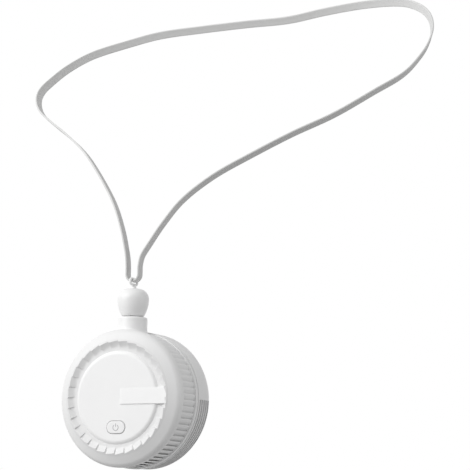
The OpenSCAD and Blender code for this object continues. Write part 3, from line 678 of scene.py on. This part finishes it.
def slot_angle(aside, r):
    """Angle, from a slot's middle, at which a plane so far to one side of it meets a radius."""
    x, z = DRUM_R - WALL / 2 - aside * math.sin(SLANT), aside * math.cos(SLANT)
    b = x * math.cos(SLANT) + z * math.sin(SLANT)
    reach = math.sqrt(b * b - x * x - z * z + r * r) - b
    return math.atan2(z + reach * math.sin(SLANT), x + reach * math.cos(SLANT))


def slot_columns(r):
    """Angles of all the slots' columns at a radius."""
    low, high = slot_angle(-SLOT_W / 2, r), slot_angle(SLOT_W / 2 - MOUTH_CUT, r)
    middle = (low + high) / 2
    rib = middle + RIB_SHARE * PITCH
    offsets = (low - BEVEL / r, low, middle, high, high + SOFT_W / r, rib)
    return [PITCH * (i + 0.5) + offset for i in range(SLOTS) for offset in offsets]


# Whether each column's slot is cut, and which of the slot's columns it is. Under the collar
# none is cut.
margin = COLLAR_R + 0.3 + (SLOT_W / math.cos(SLANT) + WALL * math.tan(SLANT)) / 2
columns = []
for i in range(SLOTS):
    middle = PITCH * (i + 0.5)
    cut = abs(DRUM_R * math.cos(middle)) > margin or math.sin(middle) < 0
    columns += [(cut, k) for k in range(len(LET_IN))]

shell = Shape()
grid = []
outer_angles, inner_angles = slot_columns(DRUM_R), slot_columns(BORE_R)
for i, (r, y) in enumerate(rows):
    is_outer = i < len(outer)
    points = []
    for angle, (cut, k) in zip(outer_angles if is_outer else inner_angles, columns):
        let_in = LET_IN[k] if cut and is_outer and i in cut_rows else 0
        points += about_y(r - let_in, y, [angle])
    grid.append(shell.loop(points))
for i, row in enumerate(grid):
    j = (i + 1) % len(grid)
    for c, (cut, k) in enumerate(columns):
        d = (c + 1) % len(columns)
        if not (cut and k in (LOW_EDGE, MIDDLE) and i in cut_rows and j in cut_rows):
            shell.face(row[c], row[d], grid[j][d], grid[j][c])

# The slots' walls through the shell, at the two edges and at the two ends
outer_rows = [grid[i] for i in cut_rows if i < len(outer)]
inner_rows = [grid[i] for i in cut_rows if i >= len(outer)][::-1]
for c, (cut, k) in enumerate(columns):
    if not (cut and k == LOW_EDGE):
        continue
    for a in (c, c + 2):
        for n in range(len(outer_rows) - 1):
            shell.face(
                outer_rows[n][a], outer_rows[n + 1][a], inner_rows[n + 1][a], inner_rows[n][a]
            )
    for n in (0, -1):
        for a in (c, c + 1):
            shell.face(
                outer_rows[n][a], outer_rows[n][a + 1], inner_rows[n][a + 1], inner_rows[n][a]
            )
shell.piece("front_housing", "housing", "shell_white", ["front_shell"])

# Fluted ring: saw teeth whose wall falls into the channel, and that fade out on the way. TOOTH
# gives the places of points in one tooth, as shares of its width.
FLUTES = 32
FLAT_SHARE = 0.94
TOOTH = [0, 0.12, 0.24, 0.36, 0.48, 0.6, 0.72, 0.84, 0.92, 0.97]
TOOTH_R = 27.5
TOOTH_STEP = 0.7
LEAN = -0.02
FADE_END, FADE_LENGTH = 0.8, 0.35
WALL_STEPS = 18
WALL_FALL, WALL_KNEE = 1.9, 6
RING_PLAY = 0.01


def flute_radius(share, run):
    """Radius of the fluted wall, from its place in one tooth and its share of the way down."""
    rise = share / FLAT_SHARE if share < FLAT_SHARE else (1 - share) / (1 - FLAT_SHARE)
    fade = min(1.0, max(0.0, (FADE_END - run) / FADE_LENGTH))
    return TOOTH_R - (TOOTH_R - DISC_R) * run - TOOTH_STEP * rise * fade * fade * (3 - 2 * fade)


ring = Shape()
angles = [2 * math.pi * (i + share) / FLUTES for i in range(FLUTES) for share in TOOTH]
loops = [
    ring.loop(about_y(SEAT_R - RING_PLAY, y, angles)) for y in (SEAT_BACK, shoulder(SEAT_R))
]
for k in range(WALL_STEPS + 1):
    run = k / WALL_STEPS
    down = WALL_FALL * run / (1 + (WALL_FALL * run) ** WALL_KNEE) ** (1 / WALL_KNEE)
    points = []
    for angle, share in zip(angles, TOOTH * FLUTES):
        top = shoulder(flute_radius(share, 0))
        y = top + (CHANNEL_Y - top) * down
        points += about_y(flute_radius(share, run), y, [angle + LEAN * run])
    loops.append(ring.loop(points))
loops += [ring.loop(about_y(DISC_R - 1, y, angles)) for y in (CHANNEL_Y, SEAT_BACK)]
ring.chain(loops, closed=True)
# The ring's darker plastic is painted shade for the recessed channel.
ring.piece("fluted_rim", "housing", "face_white", ["fluted_ring"], angle=24, material=SHADED_FLUTE_PLASTIC)

# Face disc: a soft edge down to the channel's floor, and the button's hole
DISC_EDGE, EDGE_CURVE, EDGE_STEPS = 2.0, 2.2, 14
DISC_FOOT = 1.4
DISC_UNDER = CHANNEL_Y - 0.1
BUTTON_W, BUTTON_H, BUTTON_Z, BUTTON_GAP = 10.0, 6.0, -14.4, 0.25


def button_loop(shape, grow, y):
    """The button's outline, grown on all sides, at an axial place."""
    outline = pill(BUTTON_W + 2 * grow, BUTTON_H + 2 * grow, cz=BUTTON_Z)
    return shape.loop([(x, y, z) for x, z in outline])


disc = Shape()
angles = full_turn(224)
loops = []
for k in range(EDGE_STEPS + 1):
    y = DISC_FACE + (CHANNEL_Y - DISC_FACE) * (1 - k / EDGE_STEPS) ** EDGE_CURVE
    loops.append(disc.loop(about_y(DISC_R - DISC_EDGE * k / EDGE_STEPS, y, angles)))
disc.chain(loops)
under = [disc.loop(about_y(DISC_R - DISC_FOOT, y, angles)) for y in (CHANNEL_Y, DISC_UNDER)]
disc.bridge(loops[0], under[0])
disc.chain(under)
holes = [button_loop(disc, BUTTON_GAP + grow, y) for grow, y in (
    (0.12, DISC_FACE), (0.03, DISC_FACE + 0.04), (0, DISC_FACE + 0.14), (0, DISC_UNDER),
)]
disc.chain(holes)
disc.fill(loops[-1], holes[0])
disc.fill(under[-1], holes[-1])
disc.piece("front_disc", "housing", "face_white", ["face_disc"])

# Button: a cap with a softened edge, and a flange behind the disc that keeps it in
BUTTON_FACE = DISC_FACE - 0.3
FLANGE, FLANGE_FRONT = 0.4, CHANNEL_Y + 0.05
button = Shape()
loops = [button_loop(button, grow, y) for grow, y in (
    (FLANGE, CHANNEL_Y + 0.5), (FLANGE, FLANGE_FRONT), (0, FLANGE_FRONT), (0, DISC_FACE + 0.1),
    (-0.08, DISC_FACE - 0.14), (-0.22, DISC_FACE - 0.26), (-0.42, BUTTON_FACE),
)]
button.chain(loops)
button.fill(loops[0])
button.fill(loops[-1])
button.piece("button_cap", "button", "button_white", ["power_button"])

# Power sign on the button: a ring, open at the top by twice SIGN_GAP degrees, and a stroke in it
SIGN_OUT, SIGN_IN, SIGN_GAP = 1.65, 1.25, 38
SIGN_Z = BUTTON_Z - 0.1
arc = [math.radians(90 + SIGN_GAP + (360 - 2 * SIGN_GAP) * k / 40) for k in range(41)]
circle = [(SIGN_OUT * math.cos(a), SIGN_OUT * math.sin(a)) for a in arc]
circle += [(SIGN_IN * math.cos(a), SIGN_IN * math.sin(a)) for a in reversed(arc)]
corners = ((-0.2, 0.3), (0.2, 0.3), (0.2, 2.0), (-0.2, 2.0))
stroke = eased([(x, z, 0.19) for x, z in corners], step=20)
sign = Shape()
for outline in (circle, stroke):
    low, high = [
        sign.loop([(x, y, z + SIGN_Z) for x, z in outline])
        for y in (BUTTON_FACE + 0.02, BUTTON_FACE - 0.03)
    ]
    sign.bridge(low, high)
    sign.fill(low)
    sign.fill(high)
sign.piece("power_sign", "button", None, material=PRINT)

# Bar: a plate over the disc and the channel, thickest along its lower edge. PROUD gives, for
# heights on it, how far it stands out of the disc.
BAR_START, BAR_END, BAR_LOW, BAR_H = 1.9, 27.7, -3.3, 7.7
PROUD = [(0.0, 0.3), (0.03, 0.42), (0.1, 0.49), (0.2, 0.5), (7.2, 0.08), (7.5, 0.05), (7.7, 0.02)]
BAR_SHARES = [0, 0.01, 0.025, 0.05] + [k / 12 for k in range(1, 12)] + [0.94, 0.965, 0.98, 0.992, 1]
START_BEND, START_DROP = 1.4, 0.6
END_BEND, END_CURVE = 2.4, 1.6
OVER_DISC, OVER_CHANNEL = 0.6, 2.0
DEEP_FROM = DISC_R - 4
RIM_FACE = FRONT - 0.02


def bar_x(share, z):
    """Place along the bar at a height; its end follows the rim's circle."""
    return BAR_START + share * (math.sqrt(BAR_END ** 2 - z ** 2) - BAR_START)


bar = Shape()
reach = BAR_END - BAR_START
loops = []
for share in BAR_SHARES:
    drop = START_DROP * max(0.0, 1 - share * reach / START_BEND) ** 2
    fall = max(0.0, 1 - (1 - share) * reach / END_BEND) ** END_CURVE
    points = []
    for up, out in PROUD:
        z = BAR_LOW + up
        face = DISC_FACE - out * (1 - drop)
        points.append((bar_x(share, z), face + (RIM_FACE - face) * fall, z))
    for z in (BAR_LOW + BAR_H, BAR_LOW):
        x = bar_x(share, z)
        points.append((x, DISC_FACE + (OVER_DISC if x < DEEP_FROM else OVER_CHANNEL), z))
    loops.append(bar.loop(points))
bar.chain(loops)
bar.face(*loops[0])
bar.face(*loops[-1])
bar.piece("name_bar", "housing", "face_white", ["face_bar"], angle=30)

# Ring in the seam: a lip that shows, and behind it a groove up to the rear shell
LIP_BACK = SEAM + 0.5
GROOVE_R = DRUM_R - 1.3
lathe(eased([
    (BORE_R, SEAM, 0), (DRUM_R, SEAM, 0.02), (DRUM_R, LIP_BACK, 0.08),
    (GROOVE_R, LIP_BACK, 0.1), (GROOVE_R, REAR, 0), (BORE_R, REAR, 0),
]), about_y, 256).piece("seam_band", "housing", "face_white", ["seam_ring"])

# Rear shell: smooth on its upper half, and stepped louvres on its lower half. Each louvre slopes
# in from its lip and ends in a sunk channel with six openings in its floor. EDGE_R and EDGE_Y are
# the middle of the back edge's rounding.
LOUVRES, LOUVRE_PITCH, LOUVRE_GAP, LOUVRE_FIRST = 5, 2.0, 0.9, 8.6
LOUVRE_END = LOUVRE_FIRST + LOUVRES * LOUVRE_PITCH
LIP_R, STEP_R, SUNK_R = 33.2, 32.65, 31.95
CELLS, CELL_STEPS, RIB = 6, 12, 0.16
EDGE_R, EDGE_Y = DRUM_R - BACK_EDGE, BACK - BACK_EDGE
RIM_BEVEL = 0.3
OPENING_R = BORE_R - 0.05
upper_angles = [math.pi * k / 96 for k in range(97)]
marks = [0, RIB / 4]
marks += [RIB / 2 + (1 - RIB) * k / CELL_STEPS for k in range(CELL_STEPS + 1)] + [1 - RIB / 4]
lower_angles = [
    math.pi * (1 + cell / CELLS) + math.pi / CELLS * mark for cell in range(CELLS) for mark in marks
]
lower_angles.append(2 * math.pi)
open_from = [len(marks) * cell + 2 for cell in range(CELLS)]
open_columns = [start + k for start in open_from for k in range(CELL_STEPS)]
whole = upper_angles[:-1] + lower_angles[:-1]
back = Shape()


def edge_r(y):
    """Radius of the rear shell's outside at an axial place."""
    if y < EDGE_Y:
        return DRUM_R
    return EDGE_R + math.sqrt(BACK_EDGE ** 2 - (y - EDGE_Y) ** 2)


def around(r, y):
    """A loop all round the rear shell."""
    return back.loop(about_y(r, y, whole))


def upper_half(loop):
    """The stretch over the smooth half, with both of its ends."""
    return loop[: len(upper_angles)]


def lower_half(loop):
    """The stretch over the louvres, with both of its ends."""
    return loop[len(upper_angles) - 1:] + loop[:1]


def panel(loops, is_open):
    """The faces between loops over one half, without those that are left open."""
    for i, (a, b) in enumerate(zip(loops, loops[1:])):
        for c in range(len(a) - 1):
            if not is_open(i, c):
                back.face(a[c], a[c + 1], b[c + 1], b[c])


rim = [around(BORE_R, REAR), around(DRUM_R - RIM_BEVEL, REAR), around(DRUM_R, REAR + RIM_BEVEL)]
first = around(DRUM_R, LOUVRE_FIRST)
after = around(edge_r(LOUVRE_END), LOUVRE_END)
back.chain(rim + [first])

# The upper half, with the charging port in its second row
PORT_ANGLE, PORT_SPAN = math.radians(165), math.radians(10.5)
PORT_Y, PORT_W, PORT_H = 11.8, 8.94, 3.2
port_columns = [i for i, a in enumerate(upper_angles) if abs(a - PORT_ANGLE) < PORT_SPAN]
upper = [upper_half(first)]
upper += [
    back.loop(about_y(edge_r(y), y, upper_angles)) for y in (9.2, 14.4, 16.0, 16.9, 17.8)
]
upper.append(upper_half(after))
panel(upper, lambda i, c: i == 1 and c in port_columns[:-1])
port = []
for grow, r in ((0.4, DRUM_R), (0.24, DRUM_R - 0.06), (0.2, DRUM_R - 0.2), (0.2, BORE_R - 0.1)):
    points = []
    for u, v in pill(PORT_W + 2 * grow, PORT_H + 2 * grow):
        points += about_y(r, PORT_Y + v, [PORT_ANGLE + u / DRUM_R])
    port.append(back.loop(points))
front_edge, back_edge = ([row[c] for c in port_columns] for row in upper[1:3])
back.fill(front_edge + back_edge[::-1], port[0])
back.chain(port)

# The lower half: for each louvre its loops as (radius, place from the louvre's start)
slope = (LIP_R - STEP_R) / LOUVRE_PITCH
gap_start = LOUVRE_PITCH - LOUVRE_GAP
lower = [lower_half(first)]
openings = {}
for row in range(LOUVRES):
    start = LOUVRE_FIRST + row * LOUVRE_PITCH
    lip = min(LIP_R, edge_r(start) - 0.02)
    steps = [(lip - 0.1 if row else lip, 0.01)]
    steps += [
        (min(LIP_R, edge_r(start + dy)) - slope * dy - 0.02, dy) for dy in (0.1, 0.5, gap_start)
    ]
    floor_places = (gap_start + 0.02, LOUVRE_PITCH - 0.03)
    openings[len(lower) + len(steps)] = [start + dy for dy in floor_places]
    steps += [(SUNK_R, dy) for dy in floor_places] + [(STEP_R + 0.45, LOUVRE_PITCH - 0.01)]
    lower += [back.loop(about_y(r, start + dy, lower_angles)) for r, dy in steps]
lower.append(lower_half(after))
panel(lower, lambda i, c: i in openings and c in open_columns)
for i, (near, far) in openings.items():
    for start in open_from:
        span = slice(start, start + CELL_STEPS + 1)
        mouth = lower[i][span] + lower[i + 1][span][::-1]
        run = lower_angles[span]
        deep = about_y(OPENING_R, near, run) + about_y(OPENING_R, far, run[::-1])
        back.bridge(mouth, back.loop(deep))

# The two flat sides where the louvres end against the smooth half
for end in (0, -1):
    smooth = [loop[end] for loop in upper]
    stepped = [loop[-1 - end] for loop in lower]
    back.face(*smooth, *stepped[::-1][1:-1])

# The rounded edge and the flat back with its three screw holes
SCREW_CIRCLE = 22.5
SCREW_ANGLES = (30, 150, 270)
start = math.asin((LOUVRE_END - EDGE_Y) / BACK_EDGE)
loops = [after]
for k in range(1, 11):
    a = start + (math.pi / 2 - start) * k / 10
    loops.append(around(EDGE_R + BACK_EDGE * math.cos(a), EDGE_Y + BACK_EDGE * math.sin(a)))
back.chain(loops)
sinks = []
for angle in SCREW_ANGLES:
    cx = SCREW_CIRCLE * math.cos(math.radians(angle))
    cz = SCREW_CIRCLE * math.sin(math.radians(angle))
    hole = [
        back.loop([(cx + r * math.cos(a), y, cz + r * math.sin(a)) for a in full_turn(40)])
        for r, y in ((2.3, BACK), (2.14, BACK - 0.05), (2.1, BACK - 0.2), (2.1, 18.0), (1.0, 18.0))
    ]
    back.chain(hole)
    back.fill(hole[-1])
    sinks.append(hole[0])
back.fill(loops[-1], *sinks)

# The inside, from the rim to its own flat back
loops = [rim[0]]
for r, y in ((BORE_R, 16.0), (BORE_R - 1.2, 19.7), (BORE_R - 3.4, 21.6), (BORE_R - 6.2, 22.2)):
    loops.append(around(r, y))
back.chain(loops)
back.fill(loops[-1])
back.piece("rear_housing", "housing", "shell_white", ["rear_shell"])

# Floor, world and lamps, in metres
FLOOR_Z = -0.42
FLOOR_HALF = 4
floor = bpy.data.objects.new("floor", bpy.data.meshes.new("floor"))
ways = ((-1, -1), (1, -1), (1, 1), (-1, 1))
corners = [(x * FLOOR_HALF, y * FLOOR_HALF, FLOOR_Z) for x, y in ways]
floor.data.from_pydata(corners, [], [(0, 1, 2, 3)])
scene.collection.objects.link(floor)


def by_ray(tree, seen, unseen, target):
    """Joins a shader for camera, glossy and transmission rays and another for the rest."""
    path = tree.nodes.new("ShaderNodeLightPath")
    total = path.outputs["Is Camera Ray"]
    for name in ("Is Glossy Ray", "Is Transmission Ray"):
        either = tree.nodes.new("ShaderNodeMath")
        either.operation = "MAXIMUM"
        tree.links.new(total, either.inputs[0])
        tree.links.new(path.outputs[name], either.inputs[1])
        total = either.outputs["Value"]
    mix = tree.nodes.new("ShaderNodeMixShader")
    tree.links.new(total, mix.inputs["Fac"])
    tree.links.new(unseen, mix.inputs[1])
    tree.links.new(seen, mix.inputs[2])
    tree.links.new(mix.outputs["Shader"], target)


# The floor is seen near white, and throws little light back on the object
ground = bpy.data.materials.new("pale_floor")
ground.use_nodes = True
tree = ground.node_tree
shown = tree.nodes["Principled BSDF"]
shown.inputs["Base Color"].default_value = (0.93, 0.93, 0.93, 1)
shown.inputs["Roughness"].default_value = 0.9
shown.inputs["Emission Color"].default_value = (1, 1, 1, 1)
shown.inputs["Emission Strength"].default_value = 0.25
quiet = tree.nodes.new("ShaderNodeBsdfDiffuse")
quiet.inputs["Color"].default_value = (0.4, 0.4, 0.4, 1)
surface = tree.nodes["Material Output"].inputs["Surface"]
by_ray(tree, shown.outputs["BSDF"], quiet.outputs["BSDF"], surface)
floor.data.materials.append(ground)

# The world is seen white, and lights the object with grey
world = bpy.data.worlds.new("studio")
scene.world = world
world.use_nodes = True
tree = world.node_tree
white = tree.nodes["Background"]
white.inputs["Color"].default_value = (1, 1, 1, 1)
grey = tree.nodes.new("ShaderNodeBackground")
grey.inputs["Color"].default_value = (0.42, 0.42, 0.42, 1)
surface = tree.nodes["World Output"].inputs["Surface"]
by_ray(tree, white.outputs["Background"], grey.outputs["Background"], surface)


def lamp(name, place, size, watts):
    """A round lamp that is turned towards the drum."""
    light = bpy.data.lights.new(name, "AREA")
    light.shape = "DISK"
    light.size = size
    light.energy = watts
    obj = bpy.data.objects.new(name, light)
    scene.collection.objects.link(obj)
    obj.location = place
    obj.rotation_euler = (Vector(LAMP_AIM) - Vector(place)).to_track_quat("-Z", "Y").to_euler()


LAMP_AIM = (0, -0.15, -0.2)
lamp("key", (-1.0, -1.65, 0.8), 2.0, 36)
lamp("fill", (1.8, 0.1, 0.0), 1.4, 6.8)
